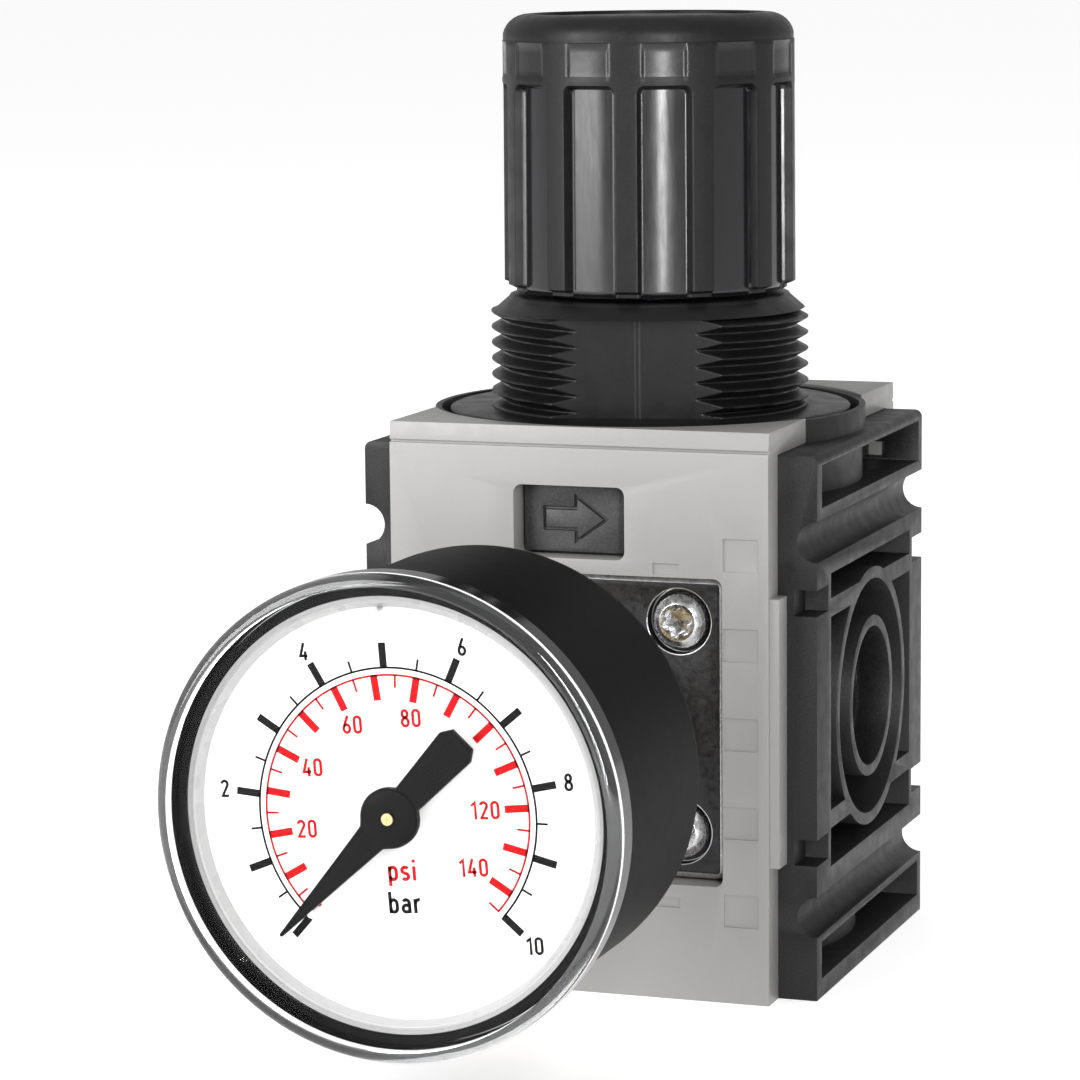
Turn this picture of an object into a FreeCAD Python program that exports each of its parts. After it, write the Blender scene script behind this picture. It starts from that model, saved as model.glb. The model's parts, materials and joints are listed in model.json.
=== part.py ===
import FreeCAD, Part
import math
import os
import Sketcher

# Modular air pressure regulator with a dial gauge. Millimetres, +Z up, -Y is the gauge side,
# +X is the outlet side. The origin is on the knob's axis, on the base of the body.

doc = FreeCAD.newDocument("PressureRegulator")
V = FreeCAD.Vector
sheet = doc.addObject("Spreadsheet::Sheet", "Dims")
ROWS = []
NODES = []


class Size:
    """A length or an angle that knows its value and its formula in the sheet."""

    def __init__(self, value, text):
        self.value = value
        self.text = text

    def __add__(self, other):
        other = size(other)
        return Size(self.value + other.value, f"({self.text} + {other.text})")

    def __sub__(self, other):
        other = size(other)
        return Size(self.value - other.value, f"({self.text} - {other.text})")

    def __mul__(self, factor):
        return Size(self.value * factor, f"({self.text} * {factor})")

    def __truediv__(self, divisor):
        return Size(self.value / divisor, f"({self.text} / {divisor})")

    def __neg__(self):
        return Size(-self.value, f"(-1 * {self.text})")


def size(number):
    return number if isinstance(number, Size) else Size(float(number), f"({number})")


def cell(name, value):
    """One driving dimension: a plain number in the sheet, with a word as its alias."""
    row = f"A{len(ROWS) + 1}"
    ROWS.append(name)
    sheet.set(row, str(value))
    sheet.setAlias(row, name)
    return Size(float(value), f"Dims.{name}")


# ---------------------------------------------------------------- driving dimensions
body_x = cell("body_half_width", 21.75)
body_y = cell("body_half_depth", 18.6)
body_top = cell("body_top", 49.9)
cover_x = cell("cover_half_width", 18.1)
cover_front = cell("cover_front", 22.0)
cover_top = cell("cover_top", 52.2)
collar_r = cell("collar_radius", 20.4)
collar_top = cell("collar_top", 52.0)
port_z = cell("port_height", 24.95)
port_r = cell("port_minor_radius", 5.72)
port_ring_r = cell("port_ring_radius", 7.6)
port_mouth_r = cell("port_mouth_radius", 6.58)
insert_r = cell("insert_radius", 6.95)
insert_near = cell("insert_inner_end", 9.0)
insert_far = cell("insert_outer_end", 18.95)
outer_ring_r = cell("outer_ring_radius", 12.2)
pin_groove_r = cell("pin_groove_radius", 1.87)
pin_groove_rise = cell("pin_groove_rise", 17.2)
window_x = cell("window_half_width", 13.8)
window_low = cell("window_bottom", 10.75)
window_high = cell("window_top", 38.95)
plate_face = cell("plate_face", 20.0)
plate_back = cell("plate_back", 15.5)
plate_screw_x = cell("plate_screw_offset", 9.2)
plate_screw_rise = cell("plate_screw_rise", 9.7)
thread_r = cell("panel_thread_radius", 15.0)
thread_root = cell("panel_thread_root", 14.1)
thread_pitch = cell("panel_thread_pitch", 1.5)
pocket_depth = cell("port_face_pocket_depth", 8.0)
flat_y = cell("panel_thread_flat", 13.95)
bonnet_top = cell("bonnet_top", 62.6)
bonnet_turn = cell("bonnet_turn", 12.5)
knob_r = cell("knob_radius", 13.8)
knob_low = cell("knob_bottom", 63.0)
knob_top = cell("knob_top", 88.8)
flute_top = cell("flute_top", 82.4)
flute_floor = cell("flute_floor_radius", 12.8)
flute_width = cell("flute_width", 4.9)
flute_turn = cell("flute_turn", 24.4)
piston_r = cell("piston_radius", 13.9)
spindle_r = cell("spindle_radius", 3.0)
fit_gap = cell("running_gap", 0.05)
chamber_r = cell("chamber_radius", 7.5)
spring_floor = cell("spring_floor", 44.0)
nut_low = cell("spring_nut_bottom", 56.0)
gauge_z = cell("gauge_height", 25.95)
can_r = cell("gauge_can_radius", 19.0)
can_back = cell("gauge_can_back", -43.6)
can_front = cell("gauge_can_front", -66.4)
bezel_r = cell("gauge_bezel_radius", 20.15)
bezel_front = cell("gauge_bezel_front", -69.3)
dial_face = cell("gauge_dial_face", -66.2)
gear_module = cell("gear_module", 0.2)
screw_head_r = cell("screw_head_radius", 2.5)
doc.recompute()

FLUTES = 12
THREAD_RIDGES = 6
PINION_TEETH = 10
SECTOR_TEETH = 100


# ---------------------------------------------------------------- helpers
def bind(obj, prop, value):
    value = size(value)
    obj.setExpression(prop, value.text)


def place(obj, at, axis="Z"):
    """Put an object at a point, with its own Z along the named axis."""
    turns = {
        "Z": FreeCAD.Rotation(),
        "X": FreeCAD.Rotation(V(0, 1, 0), 90),
        "-X": FreeCAD.Rotation(V(0, 1, 0), -90),
        "Y": FreeCAD.Rotation(V(1, 0, 0), -90),
        "-Y": FreeCAD.Rotation(V(1, 0, 0), 90),
    }
    point = [size(n) for n in at]
    obj.Placement = FreeCAD.Placement(V(*[p.value for p in point]), turns[axis])
    for letter, p in zip("xyz", point):
        bind(obj, f"Placement.Base.{letter}", p)
    return obj


def box(name, x, y, z):
    """A block between two planes on each axis."""
    obj = doc.addObject("Part::Box", name)
    for prop, (low, high) in zip(("Length", "Width", "Height"), (x, y, z)):
        bind(obj, prop, size(high) - low)
    return place(obj, (x[0], y[0], z[0]))


def rod(name, radius, length, at, axis="Z"):
    obj = doc.addObject("Part::Cylinder", name)
    bind(obj, "Radius", radius)
    bind(obj, "Height", length)
    return place(obj, at, axis)


def ring(name, radius, section_radius, at, axis="Z"):
    obj = doc.addObject("Part::Torus", name)
    bind(obj, "Radius1", radius)
    bind(obj, "Radius2", section_radius)
    return place(obj, at, axis)


def fuse(name, shapes):
    if len(shapes) == 1:
        return shapes[0]
    obj = doc.addObject("Part::MultiFuse", name)
    obj.Shapes = shapes
    obj.Refine = True
    return obj


def cut(name, base, tools):
    obj = doc.addObject("Part::Cut", name)
    obj.Base = base
    obj.Tool = fuse(f"{name}Tools", tools)
    obj.Refine = True
    return obj


def common(name, base, tool):
    obj = doc.addObject("Part::Common", name)
    obj.Base = base
    obj.Tool = tool
    return obj


def tube(name, outer, inner, length, at, axis="Z"):
    return cut(name, rod(f"{name}Outer", outer, length, at, axis),
               [rod(f"{name}Inner", inner, length, at, axis)])


def round_block(name, x, y, z, radius):
    """A block whose four edges along Y are rounded."""
    low_x, high_x = size(x[0]) + radius, size(x[1]) - radius
    low_z, high_z = size(z[0]) + radius, size(z[1]) - radius
    depth = size(y[1]) - y[0]
    parts = [box(f"{name}Wide", x, y, (low_z, high_z)), box(f"{name}Tall", (low_x, high_x), y, z)]
    for i, cx in enumerate((low_x, high_x)):
        for j, cz in enumerate((low_z, high_z)):
            parts.append(rod(f"{name}Corner{i}{j}", radius, depth, (cx, y[0], cz), "Y"))
    return fuse(name, parts)


def soften(name, base, radius, picks):
    """Round the edges of a finished base for which picks(edge) holds."""
    doc.recompute()
    obj = doc.addObject("Part::Fillet", name)
    obj.Base = base
    edges = base.Shape.Edges
    obj.Edges = [(i + 1, radius, radius) for i, edge in enumerate(edges) if picks(edge)]
    return obj


def node(name, obj):
    """Name a finished sub-part: its Label is its file's name."""
    obj.Label = name
    NODES.append((name, obj))
    return obj


def new_body(name):
    body = doc.addObject("PartDesign::Body", name)
    return body


def outline(body, name, plane, points, offset=0):
    """A closed polygon on one of the body's own planes, each corner bound to the sheet."""
    sketch = body.newObject("Sketcher::SketchObject", name)
    support = [f for f in body.Origin.OriginFeatures if f.Role == plane][0]
    sketch.AttachmentSupport = (support, "")
    sketch.MapMode = "FlatFace"
    bind(sketch, "AttachmentOffset.Base.z", offset)
    corners = [(size(a), size(b)) for a, b in points]
    count = len(corners)
    for i in range(count):
        (ax, ay), (bx, by) = corners[i], corners[(i + 1) % count]
        sketch.addGeometry(
            Part.LineSegment(V(ax.value, ay.value, 0), V(bx.value, by.value, 0)), False)
    for i in range(count):
        sketch.addConstraint(Sketcher.Constraint("Coincident", i, 2, (i + 1) % count, 1))
    for i, pair in enumerate(corners):
        for kind, length in zip(("DistanceX", "DistanceY"), pair):
            index = sketch.addConstraint(Sketcher.Constraint(kind, -1, 1, i, 1, length.value))
            sketch.setExpression(f"Constraints[{index}]", length.text)
    return sketch


def turned(name, points, along="Z", at=(0, 0, 0)):
    """A turned piece. Points are (radius, height) along Z, or (position, radius) along X or Y."""
    body = new_body(name)
    plane = {"Z": "XZ_Plane", "Y": "YZ_Plane", "X": "XZ_Plane"}[along]
    sketch = outline(body, f"{name}Profile", plane, points)
    feature = body.newObject("PartDesign::Revolution", f"{name}Turn")
    feature.Profile = sketch
    feature.ReferenceAxis = (sketch, ["V_Axis" if along == "Z" else "H_Axis"])
    feature.Angle = 360
    body.Tip = feature
    place(body, at)
    return body


def padded(name, plane, points, offset, length):
    """A straight piece: a polygon pushed along its plane's normal."""
    body = new_body(name)
    sketch = outline(body, f"{name}Profile", plane, points, offset)
    feature = body.newObject("PartDesign::Pad", f"{name}Pad")
    feature.Profile = sketch
    bind(feature, "Length", length)
    body.Tip = feature
    return body


def coil(name, radius, wire_r, low, high, turns):
    """A compression spring whose wire lies wholly between two heights."""
    body = new_body(name)
    sketch = body.newObject("Sketcher::SketchObject", f"{name}Wire")
    support = [f for f in body.Origin.OriginFeatures if f.Role == "XZ_Plane"][0]
    sketch.AttachmentSupport = (support, "")
    sketch.MapMode = "FlatFace"
    radius, wire_r, low, high = size(radius), size(wire_r), size(low), size(high)
    start = low + wire_r
    sketch.addGeometry(Part.Circle(V(radius.value, start.value, 0), V(0, 0, 1), wire_r.value), False)
    for kind, length in (("DistanceX", radius), ("DistanceY", start)):
        index = sketch.addConstraint(Sketcher.Constraint(kind, -1, 1, 0, 3, length.value))
        sketch.setExpression(f"Constraints[{index}]", length.text)
    index = sketch.addConstraint(Sketcher.Constraint("Radius", 0, wire_r.value))
    sketch.setExpression(f"Constraints[{index}]", wire_r.text)
    helix = body.newObject("PartDesign::AdditiveHelix", f"{name}Helix")
    helix.Profile = sketch
    helix.ReferenceAxis = (sketch, ["V_Axis"])
    helix.Mode = 2
    rise = high - low - wire_r * 2
    bind(helix, "Height", rise)
    bind(helix, "Turns", turns)
    body.Tip = helix
    return body


# ---------------------------------------------------------------- centre body
def pipe_face_cutters(side):
    """The hollows in one side flange: -1 is the inlet side, 1 is the outlet side."""
    tag = "Out" if side > 0 else "In"
    outer = body_x * side

    def span(near, far):
        low, high = sorted((size(near) * side, size(far) * side), key=lambda n: n.value)
        return low, high

    def along(radius, depth, name):
        start = size(depth) * side
        return rod(name, radius, body_x - depth + 1, (start, 0, port_z), "X" if side > 0 else "-X")

    depth = body_x - pocket_depth
    recess = box(f"Recess{tag}", span(depth, body_x + 1), (-14, 14), (port_z - 13.4, port_z + 13.75))
    wide_ring = cut(f"WideRing{tag}", along(outer_ring_r, depth, f"WideRingOut{tag}"),
                    [along(outer_ring_r - 1.1, depth, f"WideRingIn{tag}")])
    ribs = [
        box(f"Rib{tag}{i}", span(depth, body_x + 1), (-14, 14), (port_z + low, port_z + low + 1.7))
        for i, low in enumerate((9.75, -9.85))
    ]
    rib_gap = along(outer_ring_r - 1.1, depth, f"RibGap{tag}")
    ribs = cut(f"Ribs{tag}", fuse(f"RibPair{tag}", ribs), [rib_gap])
    kept = [wide_ring, ribs, along(port_ring_r, depth, f"PortRing{tag}")]
    cutters = [cut(f"RecessCut{tag}", recess, kept)]

    for i, rise in enumerate((pin_groove_rise, -pin_groove_rise)):
        cutters.append(rod(f"PinGroove{tag}{i}", pin_groove_r, body_y * 2 + 2,
                           (outer, -body_y - 1, port_z + rise), "Y"))
    for i, (low, high, core) in enumerate(((45.05, 48.95, collar_r - 0.3), (1.75, 5.2, collar_r - 0.9))):
        block = box(f"Pocket{tag}{i}", span(12.5, body_x + 1), (-17, 17.3), (low, high))
        cutters.append(cut(f"PocketCut{tag}{i}", block, [rod(f"PocketCore{tag}{i}", core, 60, (0, 0, -1))]))
    cutters.append(box(f"PocketSlot{tag}", span(16.4, 18.4), (17, body_y + 1), (45.3, 46.8)))
    for i, low in enumerate((35.4, 12.5)):
        for j, front in enumerate((-1, 1)):
            low_y, high_y = sorted((front * 19.6, front * 14.9))
            cutters.append(box(f"EdgeNotch{tag}{i}{j}", span(19.6, body_x + 1), (low_y, high_y),
                               (low, low + 2.4)))
    cutters.append(along(port_mouth_r, body_x - 3, f"PortMouth{tag}"))
    cutters.append(rod(f"InsertSeat{tag}", insert_r, insert_far - insert_near,
                       (insert_near * side, 0, port_z),
                       "X" if side > 0 else "-X"))
    return cutters


def valve_body():
    block = box("BodyBlock", (-body_x, body_x), (-body_y, body_y), (0, body_top))
    block = soften("BodyBlockSoft", block, 0.7, lambda e: long_top_edge(e))
    collar = rod("Collar", collar_r, collar_top - body_top + 2, (0, 0, body_top - 2))
    collar = common("CollarTrim", collar, box("CollarRoom", (-25, 25), (-25, 25), (body_top, collar_top)))
    solid = fuse("BodySolid", [block, collar])
    cutters = [rod("CollarBore", collar_r - 0.6, 5, (0, 0, body_top))]
    for side in (-1, 1):
        cutters += pipe_face_cutters(side)
    # the chambers on the main axis, from the bottom plug up to the bonnet
    cutters += [
        rod("PlugBore", 11.0, 9, (0, 0, -1)),
        rod("LowChamber", chamber_r, 12.0, (0, 0, 7.5)),
        rod("SeatBore", 6.0, 3.5, (0, 0, 19.25)),
        rod("HighChamber", chamber_r, 8.5, (0, 0, 22.5)),
        rod("GuideBore", 3.0, 8, (0, 0, 30.5)),
        rod("PistonBore", piston_r + fit_gap, 8, (0, 0, 38.0)),
        rod("SpigotBore", 17.4, 7, (0, 0, spring_floor + 0.4)),
        box("InletDrop", (-11.5, -8.2), (-3, 3), (12, 27)),
        box("InletWay", (-11, -6.4), (-2.9, 2.9), (12.1, 18.9)),
        box("OutletWay", (6.4, 11), (-3, 3), (24, 29)),
        rod("EqualiserWay", 1.0, 10, (5.5, 0, 29)),
    ]
    # the seat and passage for each plate, front and rear
    for i, front in enumerate((-1, 1)):
        low_y, high_y = sorted((plate_back * front, (body_y + 1) * front), key=lambda n: n.value)
        cutters.append(box(f"PlateSeat{i}", (-window_x, window_x), (low_y, high_y),
                           (window_low, window_high)))
        inward = "Y" if front < 0 else "-Y"
        cutters.append(rod(f"GaugeWay{i}", 2.5, 12, (0, plate_back * front, gauge_z), inward))
        cutters.append(cut(f"SealGroove{i}", rod(f"SealGrooveOut{i}", 7.2, 0.8,
                                                 (0, plate_back * front, gauge_z), inward),
                           [rod(f"SealGrooveIn{i}", 5.2, 0.8, (0, plate_back * front, gauge_z), inward)]))
        for j, (x, z) in enumerate(plate_screw_places()):
            cutters.append(rod(f"ScrewHole{i}{j}", 1.5, 5.5, (x, plate_back * front, z), inward))
    node("valve_body", cut("BodyCut", solid, cutters))


def long_top_edge(edge):
    """The two top edges of the block that run front to back."""
    box_ = edge.BoundBox
    return box_.ZMin > body_top.value - 0.01 and box_.YLength > body_y.value


def plate_screw_places():
    return [(plate_screw_x * i, port_z + plate_screw_rise * j) for i in (-1, 1) for j in (-1, 1)]


def port_insert(side):
    """Threaded metal insert moulded into a port."""
    name = "outlet_insert" if side > 0 else "inlet_insert"
    points = [(insert_near, port_r), (insert_far, port_r), (insert_far, insert_r),
              (insert_near + 5.6, insert_r),
              (insert_near + 5.2, insert_r - 0.4), (insert_near + 4.4, insert_r - 0.4),
              (insert_near + 4.0, insert_r), (insert_near, insert_r)]
    body = turned(f"Insert{side + 1}", [(size(x) * side, r) for x, r in points], "X", (0, 0, port_z))
    return node(name, body)


# ---------------------------------------------------------------- covers
def cover(front):
    """Snap-on housing half: -1 is the front one, 1 is the rear one."""
    tag = "Front" if front < 0 else "Rear"

    def span(near, far):
        return sorted((size(near) * front, size(far) * front), key=lambda n: n.value)

    def side_edge(edge):
        limits = edge.BoundBox
        return limits.ZLength > 10 and abs(abs(limits.YMin) - cover_front.value) < 0.01

    join = body_y + 0.05
    panel = box(f"Panel{tag}", (-cover_x, cover_x), span(join, cover_front), (0, cover_top))
    panel = soften(f"PanelSoft{tag}", panel, 0.6, side_edge)
    wing = box(f"Wing{tag}", (-cover_x, cover_x), span(6.4, cover_front - 0.7),
               (body_top + 0.05, cover_top))
    lugs = [
        box(f"Lug{tag}{i}", (cover_x * i - 0.85 * (i < 0) - 0.5 * (i > 0),
                             cover_x * i + 0.5 * (i < 0) + 0.85 * (i > 0)),
            span(join, cover_front - 0.9), (port_z - 12.3, port_z + 12.3))
        for i in (-1, 1)
    ]
    solid = fuse(f"CoverSolid{tag}", [panel, wing] + lugs)
    # the face bows out a little between its sides, and leans back above and below two smile lines
    bow_r = 400.0
    barrel = rod(f"Barrel{tag}", bow_r, 60, (0, (cover_front - bow_r) * front, -4))
    solid = common(f"CoverBarrel{tag}", solid, barrel)
    lean = 0.109
    smiles = []
    for name, start, way in (("Top", 46.0, 1), ("Foot", 3.4, -1)):
        reach = 9.0
        corners = [(cover_front * front, start), ((cover_front - lean * reach) * front,
                                                  start + reach * way),
                   ((cover_front + 2) * front, start + reach * way), ((cover_front + 2) * front, start)]
        smiles.append(padded(f"Smile{name}{tag}", "YZ_Plane", corners, -19, 38))
    cutters = [
        smiles[0],
        smiles[1],
        rod(f"CollarRoom{tag}", collar_r + 0.1, 5, (0, 0, body_top)),
        box(f"TopLine{tag}", (-cover_x - 1, cover_x + 1), span(cover_front - 0.85, cover_front + 1),
            (50.3, 50.6)),
        round_block(f"PlateWindow{tag}", (-window_x, window_x), span(10, 30), (window_low, window_high),
                    0.8),
    ]
    arrow = sorted((5.9 * front, -4.7 * front))
    cutters.append(round_block(f"ArrowWindow{tag}", arrow, span(10, 30), (40.3, 46.9), 0.8))
    marks = sorted((-13.9 * front, -17.1 * front))
    for i in range(5):
        low = port_z - 17.85 + 8.13 * i
        cutters.append(box(f"Mark{tag}{i}", marks, span(cover_front - 0.45, cover_front + 1),
                           (low, low + 3.0)))
    tabs = sorted((-7.35 * front, -9.75 * front))
    for i, (low, high) in enumerate(((39.2, 40.2), (8.6, 9.5))):
        cutters.append(box(f"Tab{tag}{i}", tabs, span(cover_front - 0.25, cover_front + 1), (low, high)))
    name = "front_cover" if front < 0 else "rear_cover"
    node(name, cut(f"Cover{tag}", solid, cutters))


def arrow_panel(front):
    """Dark inlay with a raised outline arrow that points to the outlet."""
    tag = "Front" if front < 0 else "Rear"
    low_x, high_x = sorted((5.65 * front, -4.45 * front))
    face_y = 19.75
    body = padded(f"ArrowPanel{tag}", "XZ_Plane",
                  [(low_x, 40.55), (high_x, 40.55), (high_x, 46.65), (low_x, 46.65)],
                  18.65 if front < 0 else -face_y, 1.1)
    centre = (low_x + high_x) / 2

    def arrow(grow):
        tail, head, nose = 1.1 + grow, 2.3 + grow * 1.6, 3.1 + grow * 1.6
        points = [(-3.2 - grow, -tail), (-0.2 - grow, -tail), (-0.2 - grow, -head), (nose, 0),
                  (-0.2 - grow, head), (-0.2 - grow, tail), (-3.2 - grow, tail)]
        return [(centre + x, 43.6 + z) for x, z in points]

    # a groove follows the arrow's outline, and the arrow inside it stands slightly proud
    groove = 0.35
    for name, grow, kind, height in (("Groove", 0.0, "PartDesign::Pocket", groove),
                                     ("Raised", -0.28, "PartDesign::Pad", groove + 0.1)):
        start = face_y if name == "Groove" else face_y - groove
        sketch = outline(body, f"Arrow{name}{tag}", "XZ_Plane", arrow(grow), start if front < 0 else -start)
        feature = body.newObject(kind, f"Arrow{name}{tag}Feature")
        feature.Profile = sketch
        feature.Length = height
        feature.Reversed = front > 0
        body.Tip = feature
    node("front_arrow_panel" if front < 0 else "rear_arrow_panel", body)


# ---------------------------------------------------------------- plates on front and rear
def plate(front):
    """Die-cast plate in a cover's window; the front one carries the gauge."""
    tag = "Front" if front < 0 else "Rear"
    edge = 0.12
    x = window_x - edge
    base = padded(f"Plate{tag}", "XZ_Plane",
                  [(-x, window_low + edge), (x, window_low + edge), (x, window_high - edge),
                   (-x, window_high - edge)],
                  plate_back if front < 0 else -plate_face, plate_face - plate_back)
    base = soften(f"PlateCorners{tag}", base, 1.0, lambda e: e.BoundBox.YLength > 1)
    bevel = soften(f"PlateSoft{tag}", base, 0.9,
                   lambda e: (abs(abs(e.BoundBox.YMin) - plate_face.value) < 0.01
                              and e.BoundBox.YLength < 0.01))
    inward = "Y" if front < 0 else "-Y"
    outward = "-Y" if front < 0 else "Y"
    start = (plate_face + 0.5) * front
    parts = [bevel]
    cutters = []
    if front < 0:
        parts.append(rod("PlateBoss", 8.6, 2.6, (0, plate_face * front, gauge_z), outward))
        cutters.append(rod("PlateThread", 4.86, 12, (0, (plate_face + 3) * front, gauge_z), inward))
    for j, (cx, cz) in enumerate(plate_screw_places()):
        cutters.append(rod(f"HeadRoom{tag}{j}", screw_head_r + 0.5, 1.7, (cx, start, cz), inward))
        cutters.append(rod(f"ShankRoom{tag}{j}", 1.6, 8, (cx, start, cz), inward))
    node("gauge_plate" if front < 0 else "blanking_plate",
         cut(f"PlateCut{tag}", fuse(f"PlateSolid{tag}", parts), cutters))
    name = "gauge_plate" if front < 0 else "blanking_plate"
    seal = tube(f"PlateSeal{tag}", 7.1, 5.3, 0.8, (0, plate_back * front, gauge_z), inward)
    node(f"{name}_seal", seal)
    for j, (cx, cz) in enumerate(plate_screw_places()):
        node(f"{name}_screw_{j + 1}", plate_screw(f"{tag}{j}", front, cx, cz))


def plate_screw(tag, front, x, z):
    """Pan head screw with a six-lobe socket."""
    seat = plate_face - 1.2
    tip = seat - 8.0
    body = turned(f"Screw{tag}", [
        (seat * front, 0), (seat * front + 0, screw_head_r), ((seat + 1.1) * front, screw_head_r),
        ((seat + 1.55) * front, screw_head_r - 0.5), ((seat + 1.8) * front, 1.7),
        ((seat + 1.8) * front, 0)],
        "Y", (x, 0, z))
    outward = "-Y" if front < 0 else "Y"
    inward = "Y" if front < 0 else "-Y"
    shank = rod(f"Shank{tag}", 1.5, 8.0, (x, seat * front, z), inward)
    head = fuse(f"ScrewSolid{tag}", [body, shank])
    socket_r = 1.0
    lobes = [rod(f"Socket{tag}", socket_r, 1.5, (x, (seat + 0.6) * front, z), outward)]
    for k in range(6):
        angle = math.radians(60 * k + 15)
        lobes.append(rod(f"Lobe{tag}{k}", 0.38, 1.5, (x + socket_r * math.cos(angle), (seat + 0.6) * front,
                                                      z + socket_r * math.sin(angle)), outward))
    return cut(f"ScrewCut{tag}", head, lobes)


# ---------------------------------------------------------------- valve parts on the main axis
def valve_parts():
    node("valve_seat", turned("Seat", [(3.5, 19.8), (4.6, 19.8), (4.6, 19.5), (5.98, 19.5), (5.98, 22.5),
                                       (3.5, 22.5)]))
    node("stem_guide", tube("Guide", 2.98, 1.6, 7.0, (0, 0, 31.0)))
    plug = turned("Plug", [(0, 0), (9.6, 0), (10.2, 0.6), (10.97, 0.6), (10.97, 7.5), (7.0, 7.5),
                           (7.0, 3.4), (0, 3.4)])
    slots = [rod(f"PlugHole{i}", 1.1, 2.0, (5.5 * i, 0, -0.5)) for i in (-1, 1)]
    groove = tube("PlugGroove", 12.0, 10.0, 1.8, (0, 0, 4.6))
    node("bottom_plug", cut("PlugCut", plug, slots + [groove]))
    node("bottom_plug_seal", tube("PlugSeal", 10.98, 10.02, 1.7, (0, 0, 4.65)))
    node("valve_spring", coil("ValveSpring", 4.4, 0.45, 3.45, 12.95, 6))
    poppet = turned("Poppet", [(0, 13.0), (5.3, 13.0), (5.3, 14.2), (2.4, 14.2), (2.4, 16.6), (5.6, 16.6),
                               (5.6, 18.4), (0, 18.4)])
    node("poppet", poppet)
    node("poppet_seal", tube("PoppetSeal", 5.6, 1.52, 1.05, (0, 0, 18.42)))
    node("valve_stem", turned("Stem", [(0, 18.45), (1.5, 18.45), (1.5, 41.0), (0, 41.0)]))
    groove_r = piston_r - 1.4
    piston = turned("Piston", [
        (1.52, 39.2), (4.0, 39.2), (4.0, 40.2), (piston_r, 40.2), (piston_r, 41.0), (groove_r, 41.0),
        (groove_r, 42.6),
        (piston_r, 42.6), (piston_r, spring_floor - 0.2), (11.0, spring_floor - 0.2), (11.0, 43.2),
        (7.0, 43.2),
        (5.6, 45.6), (3.6, 45.6), (3.6, 41.05), (1.52, 41.05)])
    node("piston", piston)
    node("piston_seal", tube("PistonSeal", piston_r, groove_r + 0.02, 1.5, (0, 0, 41.05)))
    node("regulating_spring", coil("RegulatingSpring", 8.6, 0.8, 43.25, nut_low - 0.05, 4))


def thread_points():
    """Corners of the bonnet's outside, from its flange up the panel thread to the neck."""
    points = [(19.0, body_top + 0.05), (19.0, collar_top - 0.3), (18.7, collar_top),
              (thread_root, collar_top)]
    for i in range(THREAD_RIDGES):
        base = collar_top + 0.7 + thread_pitch * i
        points += [(thread_root, base), (thread_r, base + 0.5), (thread_r, base + 0.85)]
        if i < THREAD_RIDGES - 1:
            points.append((thread_root, base + 1.35))
    points += [(13.3, bonnet_top), (4.6, bonnet_top)]
    return points


def bonnet():
    """Spring housing with the panel thread, two flats on it, and the neck under the knob."""
    points = [(11.5, spring_floor + 0.45), (17.3, spring_floor + 0.45), (17.3, body_top + 0.05)]
    points += thread_points()
    points += [(4.6, bonnet_top - 0.5), (spindle_r + fit_gap, bonnet_top - 0.5),
               (spindle_r + fit_gap, 60.0), (11.5, 60.0)]
    shell = turned("BonnetShell", points)
    flats = []
    for i, front in enumerate((-1, 1)):
        low_y, high_y = sorted((flat_y * front, size(16 * front)), key=lambda n: n.value)
        flats.append(box(f"BonnetFlat{i}", (-7, 7), (low_y, high_y), (collar_top, bonnet_top + 1)))
    keys = [box(f"BonnetKey{i}", (sorted((10.0 * i, 12.0 * i))), (-1, 1), (46.5, 60.0)) for i in (-1, 1)]
    solid = cut("Bonnet", fuse("BonnetSolid", [shell] + keys), flats)
    turn = doc.addObject("Part::Feature", "bonnet_turned")
    doc.recompute()
    turn.Shape = solid.Shape.copy()
    turn.Placement = FreeCAD.Placement(V(0, 0, 0), FreeCAD.Rotation(V(0, 0, 1), bonnet_turn.value))
    return node("bonnet", turn)


def spring_nut():
    nut = turned("NutDisc", [(spindle_r + fit_gap, nut_low), (11.2, nut_low), (11.2, nut_low + 2.95),
                             (spindle_r + fit_gap, nut_low + 2.95)])
    notches = [box(f"NutNotch{i}", sorted((9.7 * i, 12.0 * i)), (-1.3, 1.3), (nut_low - 1, nut_low + 4))
               for i in (-1, 1)]
    nut = cut("NutCut", nut, notches)
    turn = doc.addObject("Part::Feature", "nut_turned")
    doc.recompute()
    turn.Shape = nut.Shape.copy()
    turn.Placement = FreeCAD.Placement(V(0, 0, 0), FreeCAD.Rotation(V(0, 0, 1), bonnet_turn.value))
    node("spring_nut", turn)


# ---------------------------------------------------------------- spindle and knob
def hexagon(name, across, low, high, turn=0.0):
    reach = across / 2 / math.cos(math.radians(30))
    angles = [math.radians(60 * k + turn) for k in range(6)]
    corners = [(reach * math.cos(a), reach * math.sin(a)) for a in angles]
    return padded(name, "XY_Plane", corners, low, size(high) - low)


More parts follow.
